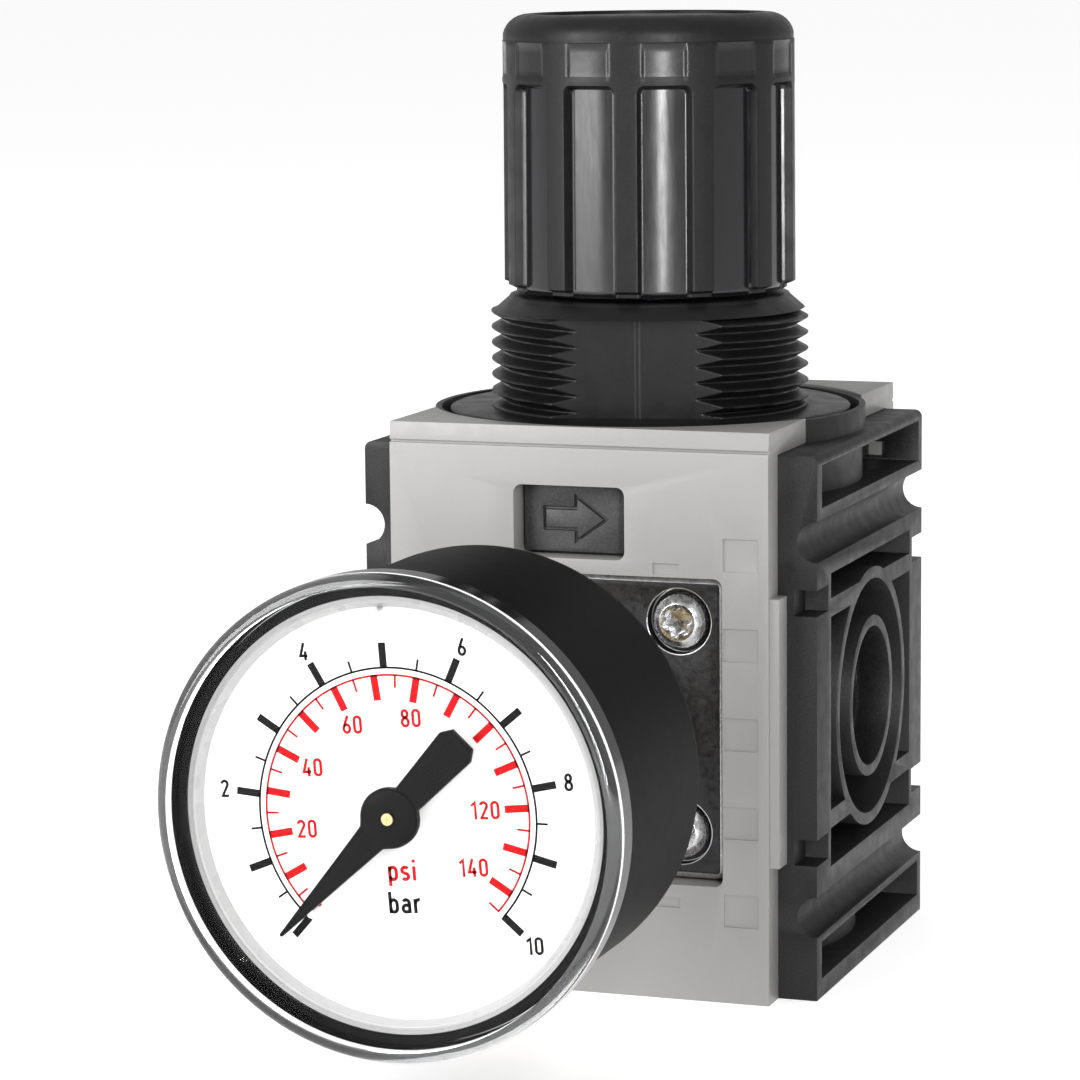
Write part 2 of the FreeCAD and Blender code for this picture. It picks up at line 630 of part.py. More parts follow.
def spindle():
    shaft = turned("SpindleShaft", [
        (0, 47.0), (spindle_r - 0.4, 47.0), (spindle_r, 47.4), (spindle_r, 59.05), (6.5, 59.05),
        (6.5, 59.95),
        (spindle_r, 59.95), (spindle_r, 65.5), (0, 65.5)])
    drive = hexagon("SpindleHex", 7.0, 65.0, 79.0, flute_turn.value)
    whole = fuse("SpindleSolid", [shaft, drive])
    bore = rod("SpindleScrewHole", 1.5, 10, (0, 0, 72.0))
    node("spindle", cut("SpindleCut", whole, [bore]))
    node("spindle_clip", tube("SpindleClip", 4.4, spindle_r, 0.5, (0, 0, bonnet_top + 0.05)))
    screw = turned("KnobScrew", [(0, 73.0), (1.5, 73.0), (1.5, 83.65), (2.9, 83.65), (2.9, 85.0),
                                 (2.3, 85.6), (0, 85.6)])
    slot = hexagon("KnobScrewSocket", 2.5, 84.3, 86.0)
    node("knob_screw", cut("KnobScrewCut", screw, [slot]))
    node("knob_washer", tube("KnobWasher", 5.2, 1.52, 0.6, (0, 0, 83.0)))
    node("knob_spacer", tube("KnobSpacer", 2.6, 1.52, 3.95, (0, 0, 79.02)))


def knob():
    """Fluted adjusting knob: hollow below, with a hexagon socket that slides on the spindle."""
    points = [(6.6, knob_low + 1.6), (6.6, 76.0), (9.9, 76.0), (9.9, knob_low), (knob_r - 0.5, knob_low),
              (knob_r, knob_low + 0.8), (knob_r, knob_top), (10.8, knob_top), (10.8, knob_top - 1.6),
              (6.0, knob_top - 1.6), (6.0, 80.0), (3.0, 80.0), (3.0, knob_low + 1.6)]
    body = turned("KnobShell", points)
    doc.recompute()
    shoulder = [i + 1 for i, e in enumerate(body.Shape.Edges)
                if abs(e.BoundBox.ZMin - knob_top.value) < 0.01 and e.BoundBox.XMax > knob_r.value - 0.01]
    shell = body.Tip
    fillet = body.newObject("PartDesign::Fillet", "KnobShoulder")
    fillet.Base = (shell, [f"Edge{i}" for i in shoulder])
    fillet.Radius = 2.4
    body.Tip = fillet
    doc.recompute()
    before = body.Shape.Volume
    half = flute_width / 2
    rise = flute_top - knob_low
    flute = outline(body, "FluteOutline", "XZ_Plane", [
        (-half, knob_low - 1), (half, knob_low - 1), (half, flute_top - 1.0), (half - 0.9, flute_top),
        (-half + 0.9, flute_top), (-half, flute_top - 1.0)], flute_floor)
    pocket = body.newObject("PartDesign::Pocket", "Flute")
    pocket.Profile = flute
    pocket.Length = 3.0
    pocket.Reversed = True
    body.Tip = pocket
    doc.recompute()
    if body.Shape.Volume > before - rise.value:
        raise RuntimeError("the knob's flute cuts nothing")
    pattern = body.newObject("PartDesign::PolarPattern", "Flutes")
    pattern.Originals = [pocket]
    pattern.Axis = ([f for f in body.Origin.OriginFeatures if f.Role == "Z_Axis"][0], [""])
    pattern.Angle = 360
    pattern.Occurrences = FLUTES
    body.Tip = pattern
    doc.recompute()
    socket = hexagon("KnobSocket", 7.2, knob_low, 81.0)
    solid = cut("KnobSolid", body, [socket, tube("KnobDiscLine", 11.6, 11.3, 0.3, (0, 0, knob_top - 0.15))])
    turn = doc.addObject("Part::Feature", "knob_turned")
    doc.recompute()
    turn.Shape = solid.Shape.copy()
    turn.Placement = FreeCAD.Placement(V(0, 0, 0), FreeCAD.Rotation(V(0, 0, 1), flute_turn.value))
    node("knob", turn)
    node("knob_cap", turned("KnobCap", [(0, knob_top - 1.55), (10.75, knob_top - 1.55),
                                        (10.75, knob_top - 0.55),
                                        (10.45, knob_top - 0.3), (0, knob_top - 0.3)]))


# ---------------------------------------------------------------- gauge
def gauge_axis(name, points):
    return turned(name, points, "Y", (0, 0, gauge_z))


def gauge_shell():
    node("gauge_case", gauge_axis("Can", [
        (can_back, 5.1), (can_back, can_r - 1.6), (can_back - 0.5, can_r - 0.5), (can_back - 1.6, can_r),
        (can_front, can_r), (can_front, can_r - 1.1), (can_back - 1.4, can_r - 1.1),
        (can_back - 1.4, 5.1)]))
    socket = gauge_axis("SocketRod", [
        (can_back - 9, 0.8), (can_back - 9, 4.9), (can_back, 5.05), (can_back + 1.0, 5.05),
        (can_back + 1.0, 6.6),
        (-33.5, 6.6), (-33.0, 5.6), (-24.0, 5.6), (-24.0, 4.85), (-16.5, 4.85), (-16.5, 0.8)])
    square = box("SocketSquare", (-5.5, 5.5), (-41.5, -34.0), (gauge_z - 5.5, gauge_z + 5.5))
    rest = tube("SocketTrim", 20, 4.7, 7.5, (0, -41.5, gauge_z), "Y")
    solid = cut("SocketNeck", socket, [rest])
    square = cut("SocketSquareBore", square, [rod("SocketBore", 0.8, 10, (0, -42.5, gauge_z), "Y")])
    node("gauge_socket", fuse("SocketWhole", [solid, square]))
    node("gauge_crystal", gauge_axis("Crystal", [
        (bezel_front, 0), (bezel_front, bezel_r - 1.0), (bezel_front + 1.0, bezel_r),
        (bezel_front + 4.6, bezel_r),
        (bezel_front + 4.6, can_r + 0.04), (bezel_front + 2.0, can_r + 0.04), (bezel_front + 2.0, 17.4),
        (bezel_front + 0.7, 17.4), (bezel_front + 0.7, 0)]))
    node("gauge_dial_ring", gauge_axis("DialRing", [
        (bezel_front + 2.1, 17.3), (bezel_front + 2.1, can_r - 0.15), (can_front - 0.05, can_r - 0.15),
        (can_front - 0.05, can_r - 1.15), (dial_face, can_r - 1.15), (dial_face, 17.3)]))
    node("gauge_dial", gauge_axis("Dial", [
        (dial_face + 0.05, 1.2), (dial_face + 0.05, can_r - 1.15), (dial_face + 0.65, can_r - 1.15),
        (dial_face + 0.65, 1.2)]))


def gear_points(teeth, kept, addendum, dedendum, thin, centre_on_tooth):
    """Corners of involute teeth about the origin: kept teeth to each side of the +X line."""
    module = gear_module.value
    pitch_r = module * teeth / 2
    base_r = pitch_r * math.cos(math.radians(20))
    root_r = pitch_r - dedendum * module
    tip_r = pitch_r + addendum * module
    reach = math.tan(math.radians(20)) - math.radians(20)
    half = math.pi / (2 * teeth) - thin / pitch_r / 2

    def flank(radius):
        if radius <= base_r:
            return half + reach
        turn = math.acos(base_r / radius)
        return half + reach - (math.tan(turn) - turn)

    radii = [root_r] + [max(base_r, root_r) + (tip_r - max(base_r, root_r)) * i / 4 for i in range(5)]
    corners = []
    shift = 0 if centre_on_tooth else 0.5
    for i in kept:
        middle = (i + shift) * 2 * math.pi / teeth
        corners += [(r, middle - flank(r)) for r in radii] + [(r,
                                                               middle + flank(r)) for r in reversed(radii)]
    return [(r * math.cos(a), r * math.sin(a)) for r, a in corners]


def prism(name, corners, low_y, high_y, holes=()):
    """A flat piece square to the gauge's axis, from corners given in X and Z."""
    points = [V(x, low_y, z) for x, z in corners]
    face = Part.Face(Part.makePolygon(points + points[:1]))
    solid = face.extrude(V(0, high_y - low_y, 0))
    for x, z, radius in holes:
        solid = solid.cut(Part.makeCylinder(radius, high_y - low_y, V(x, low_y, z), V(0, 1, 0)))
    obj = doc.addObject("Part::Feature", name)
    obj.Shape = solid
    obj.Placement = FreeCAD.Placement(V(0, 0, gauge_z.value), FreeCAD.Rotation())
    return obj


def gauge_works():
    """Bourdon tube, plates, toothed sector and pinion behind the dial."""
    reach = gear_module.value * (PINION_TEETH + SECTOR_TEETH) / 2
    gear_low, gear_high = -58.6, -57.4
    pinion = gear_points(PINION_TEETH, range(PINION_TEETH), 0.7, 1.0, 0.03, False)
    pinion = [(-x, z) for x, z in pinion]
    wheel = prism("Pinion", pinion, gear_low, gear_high)
    arbor = gauge_axis("Arbor", [(-68.3, 0), (-68.3, 0.5), (-60.9, 0.5), (-60.9, 0.75), (-55.0, 0.75),
                                 (-55.0, 0)])
    node("pointer_arbor", fuse("ArborSolid", [wheel, arbor]))
    teeth = gear_points(SECTOR_TEETH, range(-11, 4), 0.7, 1.1, 0.03, True)
    web = [(8.4, 1.8), (0, 2.2), (-1.9, 1.1), (-1.9, -1.1), (0, -2.2), (6.5, -5.6)]
    sector = [(-reach + x, z) for x, z in teeth + web]
    node("sector_gear", prism("SectorRim", sector, gear_low, gear_high,
                              [(-reach, 0, 0.78), (-reach + 5.9, -1.6, 1.6)]))
    node("sector_shaft", gauge_axis_rod("SectorShaft", -reach, 0.76, -61.9, -54.9))
    plate_corners = [(-15.0, -4.4), (4.0, -4.4), (4.0, 5.0), (-15.0, 5.0)]
    for name, low, high in (("movement_front_plate", -61.6, -60.9), ("movement_back_plate", -55.9, -55.2)):
        node(name, prism(name, plate_corners, low, high, [(0, 0, 0.8), (-reach, 0, 0.81)]))
    for i, (x, z) in enumerate(((3.0, -3.4), (3.0, 4.0))):
        node(f"movement_pillar_{i + 1}", gauge_axis_rod(f"Pillar{i}", x, 0.7, -60.9, -55.9, z))
    bourdon = ring("Bourdon", 14.2, 1.1, (0, -53.9, gauge_z), "Y")
    bourdon.Angle3 = 250
    start_down = FreeCAD.Rotation(V(0, 1, 0), 90).multiply(FreeCAD.Rotation(V(1, 0, 0), -90))
    bourdon.Placement = FreeCAD.Placement(bourdon.Placement.Base, start_down)
    node("bourdon_tube", bourdon)
    block = box("BlockBody", (-4.4, 4.4), (-55.15, can_back - 9.05), (gauge_z - 5.5, gauge_z + 5.5))
    foot = box("BlockFoot", (0.02, 2.6), (-55.15, can_back - 9.05), (gauge_z - 15.4, gauge_z - 5))
    node("movement_block", cut("Block", fuse("BlockSolid", [block, foot]),
                               [rod("BlockBore", 0.8, 4, (0, -56, gauge_z), "Y")]))
    hair = [(1.1 + 0.22 * k, math.radians(30 * k)) for k in range(12)]
    inner = [(r * math.cos(a), r * math.sin(a)) for r, a in hair]
    outer = [((r + 0.12) * math.cos(a), (r + 0.12) * math.sin(a)) for r, a in hair]
    node("hairspring", prism("Hairspring", inner + outer[::-1], -60.3, -59.6))


def gauge_axis_rod(name, x, radius, low_y, high_y, rise=0.0):
    return rod(name, radius, high_y - low_y, (x, low_y, gauge_z + rise), "Y")


def pointer():
    """Tapered pointer at zero: it points down and to the left."""
    zero = math.radians(225)
    needle = [(-9.3, -1.15), (-8.6, -1.75), (-2.2, -1.75), (-1.6, -1.2), (4.4, -1.35), (14.4, -0.18),
              (14.4, 0.18),
              (4.4, 1.35), (-1.6, 1.2), (-2.2, 1.75), (-8.6, 1.75), (-9.3, 1.15)]
    corners = [(a * math.cos(zero) - b * math.sin(zero), a * math.sin(zero) + b * math.cos(zero)) for a,
               b in needle]
    blade = prism("Blade", corners, -67.8, -67.4, [(0, 0, 0.52)])
    hub = tube("PointerHub", 2.5, 0.52, 1.2, (0, -68.1, gauge_z), "Y")
    node("pointer", fuse("PointerSolid", [blade, hub]))
    angle = math.radians(230.2)
    node("pointer_stop_pin", gauge_axis_rod("StopPin", 11.0 * math.cos(angle), 0.35, -67.7,
                                            dial_face.value + 0.05,
                                            11.0 * math.sin(angle)))


# ---------------------------------------------------------------- build, check and write
valve_body()
port_insert(-1)
port_insert(1)
for half in (-1, 1):
    cover(half)
    arrow_panel(half)
    plate(half)
valve_parts()
bonnet()
spring_nut()
spindle()
knob()
gauge_shell()
gauge_works()
pointer()
doc.recompute()

for item in doc.Objects:
    if "Invalid" in item.State or "Error" in item.State:
        raise RuntimeError(f"{item.Label} did not compute: {item.State}")
os.makedirs("parts", exist_ok=True)
for name, item in NODES:
    shape = item.Shape
    if shape.isNull() or not shape.isValid() or shape.Volume <= 0:
        raise RuntimeError(f"{name} has no valid solid")
    shape.exportStep(f"parts/{name}.step")
    limits = shape.BoundBox
    print(f"{name:24s} solids {len(shape.Solids)} volume {shape.Volume:9.1f}"
          f" x {limits.XMin:7.2f} {limits.XMax:7.2f} y {limits.YMin:7.2f} {limits.YMax:7.2f}"
          f" z {limits.ZMin:7.2f} {limits.ZMax:7.2f}")
print(len(NODES), "nodes")
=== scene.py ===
import json
import math

import bmesh
import bpy
from mathutils import Matrix, Vector

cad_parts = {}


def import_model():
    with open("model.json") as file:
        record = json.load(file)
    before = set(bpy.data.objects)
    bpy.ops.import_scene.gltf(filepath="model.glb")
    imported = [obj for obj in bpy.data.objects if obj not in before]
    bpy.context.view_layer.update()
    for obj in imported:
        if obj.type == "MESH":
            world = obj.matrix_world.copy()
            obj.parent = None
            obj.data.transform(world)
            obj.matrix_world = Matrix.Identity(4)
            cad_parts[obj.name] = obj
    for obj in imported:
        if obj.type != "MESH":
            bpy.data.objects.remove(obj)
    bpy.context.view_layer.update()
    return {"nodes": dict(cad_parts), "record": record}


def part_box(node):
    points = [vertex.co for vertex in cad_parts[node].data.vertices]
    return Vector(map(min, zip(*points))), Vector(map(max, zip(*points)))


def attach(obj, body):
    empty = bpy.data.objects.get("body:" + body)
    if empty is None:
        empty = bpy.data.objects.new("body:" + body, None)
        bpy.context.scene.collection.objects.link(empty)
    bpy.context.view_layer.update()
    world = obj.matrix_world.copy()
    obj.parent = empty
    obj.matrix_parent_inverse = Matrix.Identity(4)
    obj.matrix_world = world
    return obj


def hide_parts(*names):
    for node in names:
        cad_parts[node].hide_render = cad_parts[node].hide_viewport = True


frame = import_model()

MM = 0.001
STATIC = "housing"


def low_high(node):
    """A CAD node's corners in millimetres."""
    low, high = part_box(node)
    return [n / MM for n in low], [n / MM for n in high]


# ---------------------------------------------------------------- places taken from the frame
GAUGE_LOW, GAUGE_HIGH = low_high("gauge_crystal")
GAUGE_Z = (GAUGE_LOW[2] + GAUGE_HIGH[2]) / 2
GAUGE_AXIS = (0, 0, GAUGE_Z)
BEZEL_R = (GAUGE_HIGH[0] - GAUGE_LOW[0]) / 2
BEZEL_FRONT = GAUGE_LOW[1]
CAN_LOW, CAN_HIGH = low_high("gauge_case")
CAN_R = (CAN_HIGH[0] - CAN_LOW[0]) / 2
DIAL_FACE = low_high("gauge_dial")[0][1]
BONNET_LOW, BONNET_HIGH = low_high("bonnet")
KNOB_LOW, KNOB_HIGH = low_high("knob")

# ---------------------------------------------------------------- sizes, in millimetres, and angles
BONNET_TURN = math.radians(12.5)
FLUTES = 12
FLUTE_TURN = math.radians(24.4)
FLUTE_TOP = 82.4
KNOB_R = 13.8
PANEL_THREAD_R = 15.0
PANEL_THREAD_ROOT = 13.9
PANEL_THREAD_PITCH = 1.5
PANEL_THREAD_FLAT = 12.75
PORT_THREAD_R = 5.73
PORT_THREAD_DEPTH = 0.85
PORT_THREAD_PITCH = 1.337
WINDOW_R = 17.4
HUB_R = 2.5
PLATE_SCREW_X = 9.2
PLATE_SCREW_Z = (15.25, 34.65)

# the dial: its angles are anticlockwise from +X, seen from the front
ZERO = math.radians(225)
SWEEP = math.radians(270)
PRINT_TURN = math.radians(4.5)
POINTER_TURN = math.radians(2)
FULL_BAR = 10
PSI_PER_BAR = 14.504
LAST_PSI = 145
BAR_ARC_R = 12.05
PSI_ARC_R = 11.45
ARC_WIDTH = 0.17
BOLD, FINE = 0.62, 0.18
PRINTED_PSI = (20, 40, 60, 80, 120, 140)


# ---------------------------------------------------------------- materials
def new_material(name, color, roughness, metallic=0.0, specular=0.5):
    """A Principled material with its constant values set, and its shader node."""
    material = bpy.data.materials.new(name)
    material.use_nodes = True
    shader = material.node_tree.nodes["Principled BSDF"]
    shader.inputs["Base Color"].default_value = (*color, 1)
    shader.inputs["Roughness"].default_value = roughness
    shader.inputs["Metallic"].default_value = metallic
    shader.inputs["Specular IOR Level"].default_value = specular
    material.diffuse_color = (*color, 1)
    return material, shader


def add(material, kind, **inputs):
    """A shader node with its inputs set by name: spaces in a name are written as underscores."""
    node = material.node_tree.nodes.new(kind)
    for name, value in inputs.items():
        node.inputs[name.replace("_", " ")].default_value = value
    return node


def link(material, source, target):
    material.node_tree.links.new(source, target)


def local_noise(material, scale, detail=3.0, stretch=(1, 1, 1), rough=0.5):
    """Noise in the object's own space: scale is in waves per metre."""
    place = material.node_tree.nodes.new("ShaderNodeTexCoord")
    mapping = add(material, "ShaderNodeMapping")
    mapping.inputs["Scale"].default_value = stretch
    noise = add(material, "ShaderNodeTexNoise", Scale=scale, Detail=detail, Roughness=rough)
    link(material, place.outputs["Object"], mapping.inputs["Vector"])
    link(material, mapping.outputs["Vector"], noise.inputs["Vector"])
    return noise.outputs["Fac"]


def ramp(material, fac, stops):
    """A colour ramp over a factor: stops are (position, colour)."""
    node = material.node_tree.nodes.new("ShaderNodeValToRGB")
    ends = node.color_ramp.elements
    while len(ends) < len(stops):
        ends.new(0.5)
    for end, (position, color) in zip(ends, stops):
        end.position = position
        end.color = (*color, 1)
    link(material, fac, node.inputs["Fac"])
    return node.outputs["Color"]


def grey(value):
    return (value, value, value)


def bump(material, shader, height, strength, distance):
    """Add fine relief to a shader's normal."""
    node = add(material, "ShaderNodeBump", Strength=strength, Distance=distance)
    link(material, height, node.inputs["Height"])
    link(material, node.outputs["Normal"], shader.inputs["Normal"])


def shade(color, factor):
    return tuple(min(1.0, c * factor) for c in color)


def grained(name, color, roughness, grain, depth, specular=0.5, contrast=0.25, patchy=0.06):
    """Moulded plastic with a spark-eroded grain: grain is its size in millimetres."""
    material, shader = new_material(name, color, roughness, specular=specular)
    fine = local_noise(material, 1 / (grain * MM), detail=4.0, rough=0.65)
    broad = local_noise(material, 1 / (grain * 9 * MM), detail=2.0)
    tint = ramp(material, fine, [(0.3, shade(color, 1 - contrast)), (0.72, shade(color, 1 + contrast))])
    link(material, tint, shader.inputs["Base Color"])
    gloss = ramp(material, broad, [(0.3, grey(roughness - patchy)), (0.7, grey(roughness + patchy))])
    link(material, gloss, shader.inputs["Roughness"])
    bump(material, shader, fine, 0.7, depth * MM)
    return material


def polished(name, color, roughness, wave=3.0, depth=0.004, specular=0.5):
    """Glossy moulded plastic with faint sink marks and a few fine scuffs."""
    material, shader = new_material(name, color, roughness, specular=specular)
    broad = local_noise(material, 1 / (wave * MM), detail=1.0)
    scuffs = local_noise(material, 1 / (0.5 * MM), detail=5.0, stretch=(1, 1, 0.12), rough=0.7)
    gloss = ramp(material, scuffs, [(0.35, grey(roughness * 0.75)), (0.75, grey(roughness * 1.6))])
    link(material, gloss, shader.inputs["Roughness"])
    bump(material, shader, broad, 0.4, depth * MM)
    return material


def metal(name, color, roughness, grain=0.25, depth=0.004, spread=0.12, stretch=(1, 1, 1)):
    """Bare metal whose colour and gloss vary with its grain."""
    material, shader = new_material(name, color, roughness, metallic=1.0)
    fine = local_noise(material, 1 / (grain * MM), detail=4.0, stretch=stretch, rough=0.6)
    tint = ramp(material, fine, [(0.3, shade(color, 0.8)), (0.7, shade(color, 1.12))])
    link(material, tint, shader.inputs["Base Color"])
    smooth, rough = grey(max(0.05, roughness - spread)), grey(roughness + spread)
    gloss = ramp(material, fine, [(0.25, smooth), (0.75, rough)])
    link(material, gloss, shader.inputs["Roughness"])
    bump(material, shader, fine, 0.5, depth * MM)
    return material


def clear(name, alpha, roughness):
    """Clear plastic that lets light through: seen by its own gloss and a faint tint."""
    material, shader = new_material(name, (0.02, 0.02, 0.02), roughness)
    shader.inputs["Alpha"].default_value = alpha
    material.surface_render_method = "BLENDED"
    smears = local_noise(material, 1 / (4 * MM), detail=2.0)
    gloss = ramp(material, smears, [(0.3, grey(roughness * 0.6)), (0.75, grey(roughness * 1.8))])
    link(material, gloss, shader.inputs["Roughness"])
    return material


def glass(name, roughness):
    """The thick rim of the crystal bends light as solid clear plastic does."""
    material, shader = new_material(name, (0.97, 0.975, 0.98), roughness)
    shader.inputs["Transmission Weight"].default_value = 1.0
    shader.inputs["IOR"].default_value = 1.49
    smears = local_noise(material, 1 / (3 * MM), detail=2.0)
    gloss = ramp(material, smears, [(0.3, grey(roughness * 0.6)), (0.75, grey(roughness * 1.8))])
    link(material, gloss, shader.inputs["Roughness"])
    return material


COVER = grained("cover_grey", (0.236, 0.233, 0.227), 0.37, 0.16, 0.0035, specular=0.4, contrast=0.03)
BLACK = grained("body_black", (0.0085, 0.0085, 0.009), 0.46, 0.20, 0.034, specular=0.27, contrast=0.6)
BONNET = grained("bonnet_black", (0.005, 0.005, 0.0054), 0.36, 0.25, 0.012, specular=0.24, contrast=0.3)
KNOB_MATT = grained("knob_grained", (0.006, 0.006, 0.0064), 0.42, 0.20, 0.018, specular=0.22, contrast=0.5)
KNOB_SATIN = grained("knob_satin", (0.006, 0.006, 0.0065), 0.28, 0.25, 0.006, specular=0.4, contrast=0.3)
KNOB_GLOSS = polished("knob_polished", (0.005, 0.005, 0.006), 0.17, wave=2.2, depth=0.02, specular=0.45)
CAN = grained("gauge_can_black", (0.003, 0.003, 0.0031), 0.52, 0.12, 0.0015, specular=0.05, contrast=0.1,
              patchy=0.01)
CRYSTAL_FLAT = clear("crystal_window", 0.035, 0.05)
CRYSTAL_RIM = glass("crystal_rim", 0.03)
CRYSTAL_BAND = clear("crystal_band", 0.10, 0.06)
CRYSTAL_SKIRT = polished("crystal_skirt", (0.004, 0.004, 0.0045), 0.14, wave=3.0, depth=0.003)
PANEL = grained("arrow_panel_black", (0.026, 0.026, 0.027), 0.50, 0.20, 0.034, specular=0.45, contrast=0.5)
DIAL_WHITE = grained("dial_white", (0.82, 0.82, 0.815), 0.5, 0.3, 0.001, specular=0.2, contrast=0.01)
DIAL_WALL = grained("dial_wall", (0.42, 0.42, 0.42), 0.30, 0.4, 0.001, contrast=0.02)
INK_BLACK = grained("ink_black", (0.004, 0.004, 0.004), 0.45, 0.1, 0.001, specular=0.1, contrast=0.1)
INK_RED = grained("ink_red", (0.42, 0.003, 0.005), 0.45, 0.1, 0.001, specular=0.08, contrast=0.05)
POINTER = grained("pointer_black", (0.004, 0.004, 0.004), 0.5, 0.2, 0.004, specular=0.08, contrast=0.2)
ZINC = metal("cast_zinc", (0.055, 0.055, 0.058), 0.50, grain=0.45, depth=0.08, spread=0.15)
# painted highlight: a bright metal that stands in for light caught on the zinc plates' rounded edges and
# counterbore rims
ZINC_PAINTED_HIGHLIGHT = metal("cast_zinc_painted_highlight", (0.72, 0.72, 0.73), 0.36, grain=0.4, depth=0.04)
STEEL = metal("plated_steel", (0.66, 0.66, 0.67), 0.26, grain=0.7, depth=0.10, spread=0.14)
SPRING = metal("spring_wire", (0.42, 0.42, 0.43), 0.35, grain=0.2)
BRASS = metal("machined_brass", (0.80, 0.60, 0.30), 0.25, grain=0.15, stretch=(1, 1, 0.2))
RUBBER = grained("seal_rubber", (0.016, 0.016, 0.016), 0.6, 0.15, 0.006, contrast=0.2)
ACETAL = grained("white_acetal", (0.72, 0.72, 0.68), 0.4, 0.3, 0.002, contrast=0.02)

NODE_MATERIALS = {
    "cover_grey": COVER, "black_polymer": BLACK, "knob_black": KNOB_MATT, "cast_zinc": ZINC,
    "bright_steel": STEEL, "brass": BRASS, "rubber_black": RUBBER, "spring_steel": SPRING,
    "gauge_black": CAN, "clear_plastic": CRYSTAL_RIM, "dial_white": DIAL_WHITE,
    "pointer_black": POINTER, "white_polymer": ACETAL,
}
SLOTS = {part["node"]: part["material_slot"] for part in frame["record"]["subparts"]}


def paint(obj, *materials):
    obj.data.materials.clear()
    for material in materials:
        obj.data.materials.append(material)


for name, obj in frame["nodes"].items():
    paint(obj, NODE_MATERIALS[SLOTS[name]])


# ---------------------------------------------------------------- mesh helpers
def piece(name, verts, faces, body, materials, smooth=30):
    """A mesh from points in millimetres that rides on a body."""
    mesh = bpy.data.meshes.new(name)
    mesh.from_pydata([Vector(v) * MM for v in verts], [], faces)
    mesh.validate()
    obj = bpy.data.objects.new(name, mesh)
    bpy.context.scene.collection.objects.link(obj)
    paint(obj, *materials)
    finish_mesh(obj, smooth)
    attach(obj, body)
    return obj


def finish_mesh(obj, smooth):
    """Point the faces outward, and shade smooth except across edges sharper than an angle."""
    work = bmesh.new()
    work.from_mesh(obj.data)
    bmesh.ops.recalc_face_normals(work, faces=work.faces)
    for face in work.faces:
        face.smooth = True
    limit = math.radians(smooth)
    for edge in work.edges:
        if len(edge.link_faces) == 2 and edge.calc_face_angle(0) > limit:
            edge.smooth = False
    work.to_mesh(obj.data)
    work.free()


def softened(node, width, materials, steps=2, sharp=28):
    """A CAD node's own shape with its edges rounded, as a moulding or casting has them."""
    source = frame["nodes"][node]
    mesh = source.data.copy()
    obj = bpy.data.objects.new(f"{node}_soft", mesh)
    bpy.context.scene.collection.objects.link(obj)
    work = bmesh.new()
    work.from_mesh(mesh)
    bmesh.ops.remove_doubles(work, verts=work.verts, dist=0.002 * MM)
    bmesh.ops.dissolve_limit(work, angle_limit=math.radians(0.4), verts=work.verts, edges=work.edges)
    work.to_mesh(mesh)
    work.free()
    paint(obj, *materials)
    bevel = obj.modifiers.new("edges", "BEVEL")
    bevel.width = width * MM
    bevel.segments = steps
    bevel.limit_method = "ANGLE"
    bevel.angle_limit = math.radians(sharp)
    bevel.use_clamp_overlap = True
    bevel.harden_normals = False
    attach(obj, body_of(node))
    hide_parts(node)
    obj.matrix_world = source.matrix_world.copy()
    bpy.context.view_layer.update()
    graph = bpy.context.evaluated_depsgraph_get()
    shaped = bpy.data.meshes.new_from_object(obj.evaluated_get(graph))
    obj.modifiers.clear()
    obj.data = shaped
    finish_mesh(obj, 32)
    return obj


def body_of(node):
    for body, nodes in frame["record"]["behaviour"]["bodies"].items():
        if node in nodes:
            return body
    raise ValueError(node)


def wrapped(name, columns, body, materials, pick=None, smooth=30):
    """A closed ring of columns, each a closed loop of points: a turned piece with a free surface."""
    count = len(columns)
    rows = len(columns[0])
    verts = [point for column in columns for point in column]
    faces = []
    for i in range(count):
        after = (i + 1) % count
        for j in range(rows):
            up = (j + 1) % rows
            faces.append((i * rows + j, after * rows + j, after * rows + up, i * rows + up))
    obj = piece(name, verts, faces, body, materials, smooth)
    if pick:
        for face in obj.data.polygons:
            face.material_index = pick(face.center / MM)
    return obj


def turned(name, profile, axis, centre, body, slot, materials, steps=160, pick=None, smooth=30):
    """A closed profile of (radius, position along the axis), turned about an axis through centre."""
    columns = []
    for i in range(steps):
        angle = 2 * math.pi * i / steps
        c, s = math.cos(angle), math.sin(angle)
        if axis == "Y":
            columns.append([(centre[0] + r * c, p, centre[2] + r * s) for r, p in profile])
        elif axis == "X":
            columns.append([(p, centre[1] + r * c, centre[2] + r * s) for r, p in profile])
        else:
            columns.append([(centre[0] + r * c, centre[1] + r * s, p) for r, p in profile])
    return wrapped(name, columns, body, materials, pick, smooth)


def spread(low, high, step):
    """Evenly spaced values from low to high, about a step apart."""
    count = max(1, round((high - low) / step))
    return [low + (high - low) * i / count for i in range(count + 1)]


def ease(value, low, high):
    """0 below low, 1 above high, smooth between."""
    t = min(1.0, max(0.0, (value - low) / (high - low)))
    return t * t * (3 - 2 * t)


def wrap_angle(angle, period):
    """The angle from the nearest multiple of period."""
    return (angle + period / 2) % period - period / 2


